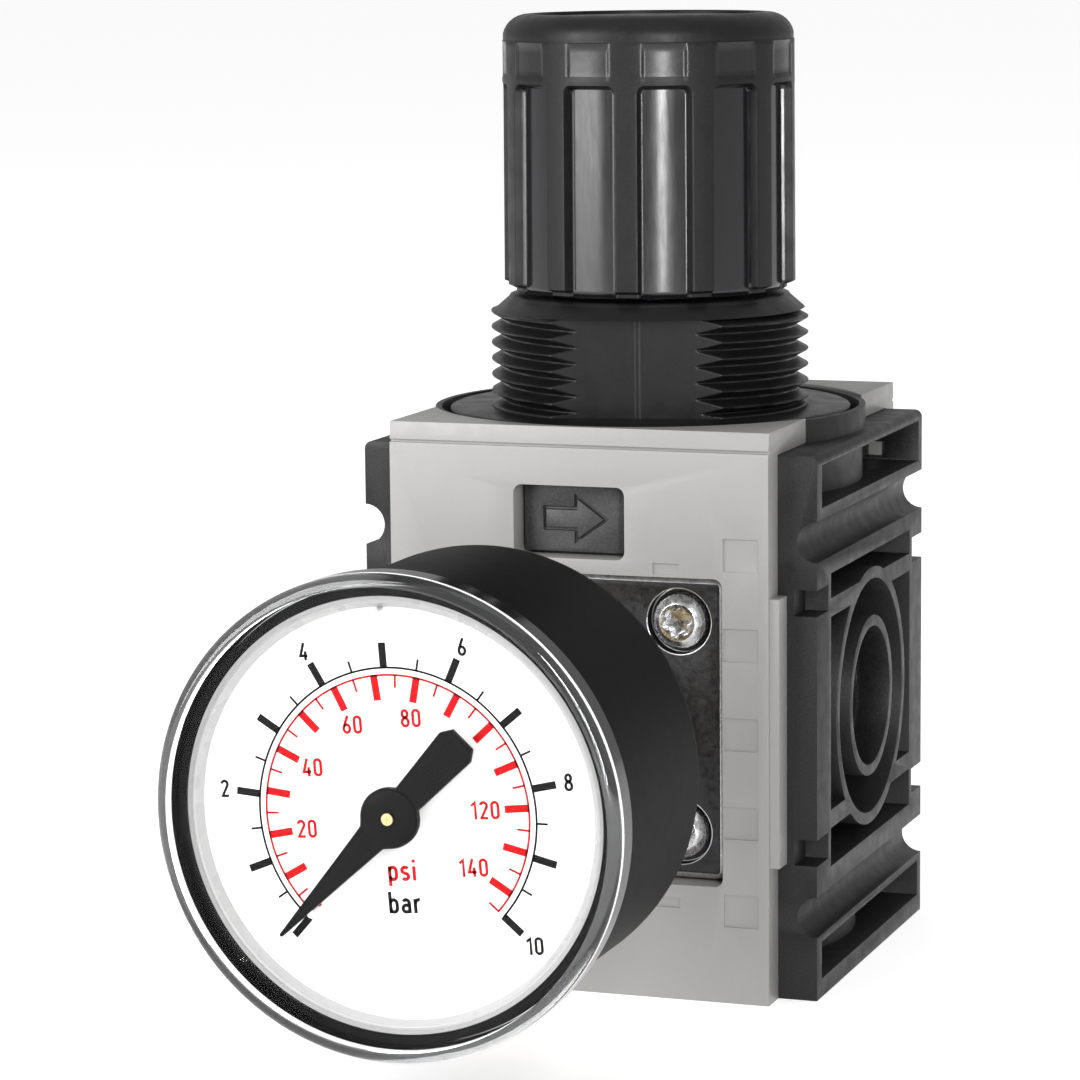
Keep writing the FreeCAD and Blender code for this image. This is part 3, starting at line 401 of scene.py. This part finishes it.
# ---------------------------------------------------------------- knob
def knob():
    """Twelve polished flutes between grained ribs, under a rounded shoulder."""
    bottom, top = KNOB_LOW[2], KNOB_HIGH[2]
    depth, half, corner = 1.0, 2.5, 0.7
    period = 2 * math.pi / FLUTES
    shoulder = 2.4
    seam = KNOB_R - 0.17
    rows = spread(bottom, bottom + 0.9, 0.15) + spread(bottom + 1.4, FLUTE_TOP - 1.6, 1.2)
    rows += spread(FLUTE_TOP - 1.5, FLUTE_TOP + 0.5, 0.1)
    rows += spread(FLUTE_TOP + 0.9, top - shoulder - 0.1, 0.4)

    def flute(offset, height):
        """How deep the flute is here, from 0 to 1."""
        across = abs(offset) * KNOB_R - (half - corner)
        above = height - (FLUTE_TOP - corner)
        distance = math.hypot(max(across, 0), max(above, 0)) + min(max(across, above), 0) - corner
        return 1 - ease(distance, -0.28, 0.10)

    def facet(offset, height):
        """The faint flat above each flute."""
        across = ease(half - 0.3 - abs(offset) * KNOB_R, 0, 0.4)
        above = ease(height, FLUTE_TOP + 0.5, FLUTE_TOP + 0.9)
        return across * above * (1 - ease(height, top - shoulder - 0.3, top - shoulder - 0.1))

    def column(angle):
        offset = wrap_angle(angle - FLUTE_TURN, period)
        points = []
        for height in rows:
            rib = KNOB_R - 0.004 * (height - bottom)
            on_rib = 1 - flute(offset, bottom + 3)
            low_edge = on_rib * (1 - ease(height, bottom + 0.45, bottom + 0.75)) * 0.8
            foot = 0.5 * (1 - ease(height, bottom, bottom + 0.5))
            radius = rib - depth * flute(offset, height) - 0.13 * facet(offset, height)
            radius -= max(low_edge, foot * 0.6)
            if height < bottom + 0.001:
                radius = min(radius, KNOB_R - 1.1)
            points.append((radius, height))
        points += [(seam, top - shoulder), (seam, top - shoulder + 0.12)]
        for k in range(1, 9):
            turn = math.pi / 2 * k / 8
            points.append((KNOB_R - 0.12 - shoulder * (1 - math.cos(turn)),
                           top - shoulder + 0.1 + (shoulder - 0.1) * math.sin(turn)))
        cap_seat = [(10.95, top), (10.82, top - 0.12), (10.82, top - 1.6), (6.0, top - 1.6)]
        bore = [(6.0, 80.0), (4.25, 80.0), (4.25, bottom + 1.6), (6.6, bottom + 1.6)]
        skirt = [(6.6, 76.0), (9.9, 76.0), (9.9, bottom)]
        points += cap_seat + bore + skirt
        return [(r * math.sin(angle), -r * math.cos(angle), z) for r, z in points]

    def pick(centre):
        radius = math.hypot(centre.x, centre.y)
        angle = wrap_angle(math.atan2(centre.x, -centre.y) - FLUTE_TURN, period)
        if abs(angle) * KNOB_R > half - 0.15 or not KNOB_R - 1.3 < radius < KNOB_R:
            return 0
        if bottom < centre.z < FLUTE_TOP - 0.15:
            return 1 if radius < KNOB_R - 0.6 else 0
        return 2 if FLUTE_TOP + 0.7 < centre.z < top - shoulder - 0.2 else 0

    around = 72 * FLUTES
    columns = [column(2 * math.pi * i / around) for i in range(around)]
    finishes = (KNOB_MATT, KNOB_GLOSS, KNOB_SATIN)
    obj = wrapped("knob_fluted", columns, "knob", finishes, pick, smooth=40)
    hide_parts("knob")


# ---------------------------------------------------------------- bonnet with the panel thread
def bonnet():
    """Helical M30 x 1.5 thread, broken by two flats, between the flange and the neck."""
    low, top = BONNET_LOW[2], BONNET_HIGH[2]
    flange_low, flange_top = 49.95, 52.0
    thread_top = 61.15
    rows = spread(flange_top + 0.02, top - 0.25, 0.075)

    def radius(angle, height):
        offset = wrap_angle(angle - BONNET_TURN, math.pi)
        rise = (height - flange_top - 0.45) / PANEL_THREAD_PITCH + angle / (2 * math.pi)
        wave = abs(rise - math.floor(rise) - 0.5) * PANEL_THREAD_PITCH
        groove = min(1.0, max(0.0, (wave - 0.07) / 0.60)) * ease(height, flange_top + 0.1, flange_top + 0.5)
        value = PANEL_THREAD_R - (PANEL_THREAD_R - PANEL_THREAD_ROOT) * groove
        if height > thread_top:
            cone = PANEL_THREAD_R - 0.35 - (height - thread_top) * 1.65 / (top - thread_top)
            return min(PANEL_THREAD_R - 0.1, cone)
        if abs(offset) < math.radians(60):
            across = offset * PANEL_THREAD_FLAT
            seam = min(abs(across - 0.2), abs(across + 0.2))
            flat = PANEL_THREAD_FLAT / math.cos(offset) + 0.04 * (1 - ease(seam, 0.04, 0.12))
            value = min(value, flat)
        return value

    def column(angle):
        body = [(11.5, low), (17.3, low), (17.3, flange_low)]
        flange = [(18.85, flange_low), (19.0, flange_low + 0.15), (19.0, flange_top - 0.3),
                  (18.92, flange_top - 0.1), (18.7, flange_top)]
        thread = [(radius(angle, height), height) for height in rows]
        neck = [(13.2, top - 0.08), (13.0, top), (4.6, top), (4.6, top - 0.5)]
        bore = [(3.06, top - 0.5), (3.06, 60.0), (11.5, 60.0)]
        points = body + flange + thread + neck + bore
        return [(r * math.sin(angle), -r * math.cos(angle), z) for r, z in points]

    around = 720
    columns = [column(2 * math.pi * i / around) for i in range(around)]
    obj = wrapped("bonnet_threaded", columns, STATIC, (BONNET,), smooth=50)
    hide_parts("bonnet")


# ---------------------------------------------------------------- port inserts
def port_insert(side):
    """Insert whose bore has a helical G1/4 thread with a lead-in at the mouth: side is 1 for the outlet."""
    node = "outlet_insert" if side > 0 else "inlet_insert"
    low, high = low_high(node)
    near, far = sorted((abs(low[0]), abs(high[0])))
    outer = (high[1] - low[1]) / 2
    centre_z = (low[2] + high[2]) / 2
    rows = spread(near, far, 0.11)
    around = 180
    columns = []
    for i in range(around):
        angle = 2 * math.pi * i / around
        points = [(outer, far - 0.25), (outer, near), (5.75, near)]
        for position in rows[1:-1]:
            turn = position / PORT_THREAD_PITCH + angle / (2 * math.pi)
            wave = abs(turn - math.floor(turn) - 0.5) * 2
            inside = far - position
            groove = PORT_THREAD_DEPTH * ease(wave, 0.1, 0.9) * ease(inside, 0.0, 0.4)
            lead_in = 0.8 * (1 - ease(inside, 0, 0.9))
            points.append((PORT_THREAD_R + min(PORT_THREAD_DEPTH, groove + lead_in), position))
        points.append((6.55, far))
        points.append((outer - 0.2, far))
        columns.append([(side * p, r * math.cos(angle), centre_z + r * math.sin(angle)) for r, p in points])
    obj = wrapped(f"{node}_threaded", columns, STATIC, (BLACK,), smooth=45)
    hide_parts(node)


# ---------------------------------------------------------------- gauge
def crystal():
    """Clear crystal: a flat window and band, a thick rounded rim, and a black skirt over the can."""
    front = BEZEL_FRONT
    skirt = GAUGE_HIGH[1] - 1.3
    rounding, rim_back, inner = 0.95, 1.05, CAN_R + 0.06

    def part(name, profile, material, **options):
        return turned(name, profile, "Y", GAUGE_AXIS, STATIC, "clear_plastic", (material,), **options)

    corner = [(BEZEL_R, front + rim_back)]
    for k in range(9):
        turn = math.pi / 2 * k / 8
        corner.append((BEZEL_R - rounding * (1 - math.cos(turn)), front + rounding * (1 - math.sin(turn))))
    rim = corner + [(inner + 0.02, front), (inner, front + 0.05), (inner, front + rim_back)]
    ring = part("crystal_rim", rim, CRYSTAL_RIM, steps=240, smooth=35)
    sleeve = [(BEZEL_R - 0.02, front + rim_back + 0.02), (BEZEL_R - 0.02, skirt - 0.2),
              (BEZEL_R - 0.22, skirt), (inner, skirt), (inner, front + rim_back + 0.02)]
    part("crystal_skirt", sleeve, CRYSTAL_SKIRT, steps=240, smooth=35)
    band = [(inner - 0.02, front + 0.04), (inner - 0.02, front + 1.9), (WINDOW_R + 0.05, front + 1.9),
            (WINDOW_R + 0.02, front + 0.75), (WINDOW_R + 0.02, front + 0.3),
            (WINDOW_R + 0.35, front + 0.04)]
    part("crystal_band", band, CRYSTAL_BAND, steps=240, smooth=25)
    pane = [(0.01, front + 0.1), (WINDOW_R, front + 0.1), (WINDOW_R, front + 0.66), (0.01, front + 0.66)]
    part("crystal_window", pane, CRYSTAL_FLAT, steps=120)
    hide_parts("gauge_crystal")


def can():
    """Deep-drawn black can with a rolled rear corner."""
    low, high = CAN_LOW[1], CAN_HIGH[1]
    wall, floor_thickness, corner, hole = 1.1, 1.4, 1.8, 5.1
    outside = [(CAN_R - wall, low), (CAN_R - 0.12, low), (CAN_R, low + 0.12), (CAN_R, high - corner - 0.2)]
    for k in range(1, 9):
        turn = math.pi / 2 * k / 8
        outside.append((CAN_R - corner * (1 - math.cos(turn)), high - corner + corner * math.sin(turn)))
    inside = [(hole, high), (hole, high - floor_thickness), (CAN_R - wall, high - floor_thickness)]
    profile = outside + inside
    shell = turned("gauge_can", profile, "Y", GAUGE_AXIS, STATIC, "gauge_black", (CAN,), steps=300)
    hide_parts("gauge_case")


def dial_ring():
    """Light wall between the dial and the crystal, its black outer edge, and the small peg at its top."""
    low, high = (corner[1] for corner in low_high("gauge_dial_ring"))
    lip = CAN_LOW[1] - 0.06
    black_from, outer, seat = 18.05, CAN_R - 0.16, CAN_R - 1.14
    wall = [(17.05, high), (17.05, high - 0.12), (17.4, low + 0.45), (17.45, low + 0.2), (17.7, low + 0.15),
            (17.75, low + 0.04)]
    edge = [(black_from, low + 0.01), (black_from + 0.01, low), (outer, low), (outer, lip), (seat, lip),
            (seat, high)]

    def pick(centre):
        return 1 if math.hypot(centre.x, centre.z - GAUGE_Z) > black_from else 0

    ring = turned("dial_ring_light", wall + edge, "Y", GAUGE_AXIS, STATIC, "gauge_black", (DIAL_WALL, CAN),
                  steps=200, pick=pick)
    peg = [(0.01, low + 0.1), (0.15, low + 0.1), (0.19, low + 0.3), (0.19, high), (0.01, high)]
    peg_axis = (-1.1, 0, GAUGE_Z + 16.85)
    turned("dial_ring_peg", peg, "Y", peg_axis, STATIC, "gauge_black", (DIAL_WALL,), steps=24)
    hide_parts("gauge_dial_ring")


def curve(x, y, across, high, start, stop, steps=14):
    """Points along part of an ellipse, in degrees."""
    turns = [math.radians(start + (stop - start) * i / steps) for i in range(steps + 1)]
    return [(x + across * math.cos(t), y + high * math.sin(t)) for t in turns]


# plain narrow figures and letters as pen strokes: one unit is the height of a figure
BOWL = curve(0.25, 0.44, 0.16, 0.18, 180, 0) + curve(0.25, 0.24, 0.16, 0.18, 0, -180)
GLYPHS = {
    "0": (0.50, [curve(0.25, 0.75, 0.18, 0.18, 0, 180) + curve(0.25, 0.25, 0.18, 0.18, 180, 360)
                 + [(0.43, 0.76)]]),
    "1": (0.36, [[(0.04, 0.74), (0.26, 0.93), (0.26, 0.0)]]),
    "2": (0.50, [curve(0.25, 0.74, 0.18, 0.19, 170, -35) + [(0.08, 0.07), (0.46, 0.07)]]),
    "4": (0.52, [[(0.30, 1.0), (0.07, 0.26), (0.50, 0.26)], [(0.37, 0.52), (0.37, 0.0)]]),
    "6": (0.50, [[(0.34, 1.0), (0.10, 0.42)], curve(0.25, 0.29, 0.18, 0.22, 145, 505)]),
    "8": (0.50, [curve(0.25, 0.74, 0.155, 0.19, 0, 366), curve(0.25, 0.29, 0.185, 0.22, 0, 366)]),
    "p": (0.48, [[(0.09, 0.66), (0.09, -0.24)], BOWL]),
    "b": (0.48, [[(0.09, 1.0), (0.09, 0.0)], BOWL]),
    "s": (0.44, [curve(0.22, 0.485, 0.15, 0.135, 25, 250) + curve(0.22, 0.195, 0.15, 0.135, 70, -150)]),
    "i": (0.16, [[(0.08, 0.66), (0.08, 0.0)], [(0.08, 0.82), (0.08, 0.97)]]),
    "a": (0.46, [[(0.39, 0.0), (0.39, 0.44)] + curve(0.235, 0.45, 0.155, 0.17, 0, 150),
                 [(0.39, 0.37)] + curve(0.22, 0.215, 0.15, 0.155, 90, 270) + [(0.39, 0.09)]]),
    "r": (0.34, [[(0.08, 0.66), (0.08, 0.0)], curve(0.26, 0.42, 0.18, 0.2, 180, 70)]),
}


def spun(x, z, angle):
    """A point turned about the dial's centre."""
    c, s = math.cos(angle), math.sin(angle)
    return x * c - z * s, x * s + z * c


class Print:
    """Flat ink shapes on the dial, gathered into one mesh."""

    def __init__(self):
        self.verts = []
        self.faces = []

    def stroke(self, points, width):
        """A thin raised band of one width that follows points (x, z) about the dial's centre."""
        points = [Vector(spun(x, z, PRINT_TURN)) for x, z in points]
        lefts, rights = [], []
        for i, point in enumerate(points):
            before = (point - points[i - 1]).normalized() if i else None
            after = (points[i + 1] - point).normalized() if i + 1 < len(points) else None
            along = ((before or after) + (after or before)).normalized()
            side = Vector((-along.y, along.x))
            reach = width / 2 / max(0.6, along.dot(after or before))
            lefts.append(point + side * reach)
            rights.append(point - side * reach)
        base, count = len(self.verts), len(points)
        for raised in (0.03, 0.0):
            for edge in (lefts, rights):
                self.verts += [(p.x, DIAL_FACE - raised, GAUGE_Z + p.y) for p in edge]
        top_left, top_right, low_left, low_right = (base + count * k for k in range(4))
        for i in range(count - 1):
            self.faces += [(top_left + i, top_left + i + 1, top_right + i + 1, top_right + i),
                           (low_left + i, low_right + i, low_right + i + 1, low_left + i + 1),
                           (top_left + i, low_left + i, low_left + i + 1, top_left + i + 1),
                           (top_right + i, top_right + i + 1, low_right + i + 1, low_right + i)]
        for i in (0, count - 1):
            self.faces.append((top_left + i, top_right + i, low_right + i, low_left + i))

    def tick(self, angle, inner, outer, width):
        """A radial mark of the scale."""
        along = Vector((math.cos(angle), math.sin(angle)))
        self.stroke([along * inner, along * outer], width)

    def arc(self, radius, width, start, stop, steps=160):
        """A thin line around the scale."""
        turns = [start + (stop - start) * i / steps for i in range(steps + 1)]
        self.stroke([(radius * math.cos(t), radius * math.sin(t)) for t in turns], width)

    def text(self, words, x, z, height, pen=0.16, gap=0.14):
        """Plain lettering, centred on a point of the dial."""
        wide = sum(GLYPHS[c][0] for c in words) + gap * (len(words) - 1)
        left = x - wide * height / 2
        low = z - height / 2
        for char in words:
            across, strokes = GLYPHS[char]
            for points in strokes:
                self.stroke([(left + px * height, low + py * height) for px, py in points], pen * height)
            left += (across + gap) * height

    def build(self, name, material):
        """Turn what has been drawn into one piece."""
        piece(name, self.verts, self.faces, STATIC, (material,), smooth=30)


def dial_print():
    """Black bar scale outside, red psi scale inside, with plain numbers."""
    black = Print()
    black.arc(BAR_ARC_R, ARC_WIDTH, ZERO - SWEEP, ZERO)
    for half_bar in range(2 * FULL_BAR + 1):
        angle = ZERO - SWEEP * half_bar / (2 * FULL_BAR)
        if half_bar % 2 == 0:
            black.tick(angle, 12.0, 14.1, BOLD)
        else:
            black.tick(angle, 12.0, 13.0, FINE)
        if half_bar and half_bar % 4 == 0:
            reach = 15.2 if half_bar < 2 * FULL_BAR else 15.5
            black.text(str(half_bar // 2), reach * math.cos(angle), reach * math.sin(angle), 1.45)
    black.text("bar", 0.0, -7.3, 1.8)
    black.build("dial_print_black", INK_BLACK)

    red = Print()
    per_psi = SWEEP / (FULL_BAR * PSI_PER_BAR)
    red.arc(PSI_ARC_R, ARC_WIDTH, ZERO - per_psi * LAST_PSI, ZERO)
    for psi in range(0, LAST_PSI + 1, 5):
        angle = ZERO - per_psi * psi
        if psi and psi % 10 == 0:
            red.tick(angle, 9.4, 11.5, BOLD)
        else:
            red.tick(angle, 10.4, 11.5, FINE)
        if psi in PRINTED_PSI:
            reach = 8.1 if psi < 100 else 7.7
            red.text(str(psi), reach * math.cos(angle), reach * math.sin(angle), 1.5)
    red.text("psi", 0.0, -4.6, 1.8)
    red.build("dial_print_red", INK_RED)


def pointer():
    """Tapered black pointer with a wide tail, a domed hub and a brass pin."""
    low, high = low_high("pointer")
    back, front = high[1] - 0.35, low[1] + 0.2
    outline = [(14.35, 0.0), (14.25, 0.14), (6.0, 0.93), (2.35, 1.30)]
    for k in range(1, 8):
        turn = math.radians(32 + (146 - 32) * k / 8)
        outline.append((HUB_R * math.cos(turn), HUB_R * math.sin(turn)))
    outline += [(-2.15, 1.28), (-8.35, 1.72), (-9.25, 1.15)]
    outline += [(x, -z) for x, z in reversed(outline[1:])]
    ring = [spun(x, z, ZERO + POINTER_TURN) for x, z in outline]
    verts = []
    for grow, y in ((0.0, back), (0.0, front + 0.12), (-0.10, front)):
        for x, z in ring:
            length = math.hypot(x, z)
            scale = (length + grow) / length
            verts.append((x * scale, y, GAUGE_Z + z * scale))
    count = len(ring)
    faces = [tuple(range(count)), tuple(2 * count + i for i in reversed(range(count)))]
    for layer in range(2):
        for i in range(count):
            after = (i + 1) % count
            near, far = layer * count, (layer + 1) * count
            faces.append((near + i, near + after, far + after, far + i))
    blade = piece("pointer_blade", verts, faces, "pointer", (POINTER,), smooth=25)
    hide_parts("pointer")
    dome = [(0.55, high[1]), (1.3, high[1]), (HUB_R - 0.08, back), (HUB_R, front + 0.05),
            (HUB_R - 0.12, low[1] + 0.12), (1.9, low[1]), (0.62, low[1])]
    turned("pointer_hub", dome, "Y", GAUGE_AXIS, "pointer", "pointer_black", (POINTER,), steps=96)
    pin_low = low_high("pointer_arbor")[0][1]
    pin = [(0.02, pin_low), (0.3, pin_low + 0.04), (0.48, pin_low + 0.2), (0.48, high[1]), (0.02, high[1])]
    turned("pointer_pin", pin, "Y", GAUGE_AXIS, "pointer", "brass", (BRASS,), steps=48)


# ---------------------------------------------------------------- plates with a painted highlight on their edges
def cast_plate(node):
    """A zinc plate whose rounded edges and counterbore rims carry a painted highlight: a brighter metal on
    their sloping faces.
    """
    obj = softened(node, 0.34, (ZINC, ZINC_PAINTED_HIGHLIGHT), steps=2)
    low, high = low_high(node)
    rim, reach = 1.15, 3.3
    for face in obj.data.polygons:
        x, z = abs(face.center.x / MM), face.center.z / MM
        leaning = 0.25 < abs(face.normal.y) < 0.97
        near_edge = x > high[0] - rim or z < low[2] + rim or z > high[2] - rim
        near_screw = any(math.hypot(x - PLATE_SCREW_X, z - level) < reach for level in PLATE_SCREW_Z)
        # sloping faces near the plate's edges and near the screws get the painted highlight
        if leaning and (near_edge or near_screw):
            face.material_index = 1


# ---------------------------------------------------------------- whole object
softened("valve_body", 0.22, (BLACK,))
for node in ("front_cover", "rear_cover"):
    softened(node, 0.22, (COVER,), steps=3)
for node in ("front_arrow_panel", "rear_arrow_panel"):
    softened(node, 0.10, (PANEL,))
for node in ("gauge_plate", "blanking_plate"):
    cast_plate(node)
    for i in range(4):
        softened(f"{node}_screw_{i + 1}", 0.12, (STEEL,))
softened("knob_cap", 0.12, (KNOB_MATT,))
softened("bottom_plug", 0.2, (BLACK,))
softened("gauge_socket", 0.15, (BRASS,))
knob()
bonnet()
port_insert(-1)
port_insert(1)
crystal()
can()
dial_ring()
dial_print()
pointer()


# ---------------------------------------------------------------- floor, light and camera
def floor():
    """A pale floor just under the object, wide enough to fill the view."""
    reach = 9.0
    sag = -0.00002
    corners = [(x * reach, y * reach, sag) for x, y in ((-1, -1), (1, -1), (1, 1), (-1, 1))]
    mesh = bpy.data.meshes.new("floor")
    mesh.from_pydata(corners, [], [(0, 1, 2, 3)])
    obj = bpy.data.objects.new("floor", mesh)
    bpy.context.scene.collection.objects.link(obj)
    material, shader = new_material("floor_white", (0.90, 0.90, 0.90), 0.9, specular=0.1)
    shader.inputs["Emission Color"].default_value = (1, 1, 1, 1)
    shader.inputs["Emission Strength"].default_value = 0.46
    paint(obj, material)


def soft_box(name, azimuth, rise, distance, width, height, power):
    """A lamp that faces the object: azimuth is from straight ahead, positive to the right."""
    light = bpy.data.lights.new(name, "AREA")
    light.shape = "RECTANGLE"
    light.size = width
    light.size_y = height
    light.energy = power
    obj = bpy.data.objects.new(name, light)
    bpy.context.scene.collection.objects.link(obj)
    turn = math.radians(azimuth)
    target = Vector((0, -0.02, 0.05))
    place = target + Vector((distance * math.sin(turn), -distance * math.cos(turn), rise))
    obj.location = place
    obj.rotation_euler = (target - place).to_track_quat("-Z", "Y").to_euler()


def world(strength):
    """Even white light from all around."""
    shell = bpy.data.worlds.new("studio")
    bpy.context.scene.world = shell
    shell.use_nodes = True
    back = shell.node_tree.nodes["Background"]
    back.inputs["Color"].default_value = (1, 1, 1, 1)
    back.inputs["Strength"].default_value = strength


def camera():
    """The view from the front right, slightly above: azimuth is from straight ahead."""
    azimuth, elevation, roll = (math.radians(a) for a in (19.83, 8.54, -0.58))
    target = Vector((-11.28, 0, 38.36)) * MM
    distance = 396.0 * MM
    back = Vector((math.sin(azimuth) * math.cos(elevation), -math.cos(azimuth) * math.cos(elevation),
                   math.sin(elevation)))
    right = Vector((math.cos(azimuth), math.sin(azimuth), 0))
    up = back.cross(right)
    right, up = right * math.cos(roll) + up * math.sin(roll), up * math.cos(roll) - right * math.sin(roll)
    data = bpy.data.cameras.new("camera")
    data.lens = 136.9
    data.sensor_width = 36
    data.clip_start = 0.01
    obj = bpy.data.objects.new("camera", data)
    bpy.context.scene.collection.objects.link(obj)
    turn = Matrix((right, up, back)).transposed().to_4x4()
    obj.matrix_world = Matrix.Translation(target + back * distance) @ turn
    bpy.context.scene.camera = obj


floor()
world(0.55)
soft_box("box_left", -37, 0.25, 0.75, 0.42, 0.60, 7.0)
soft_box("strip_front", 30, 0.20, 0.72, 0.07, 0.50, 4.6)
soft_box("box_top", 40, 0.8, 0.15, 0.5, 0.5, 0.3)
camera()
bpy.context.scene.view_settings.view_transform = "Standard"
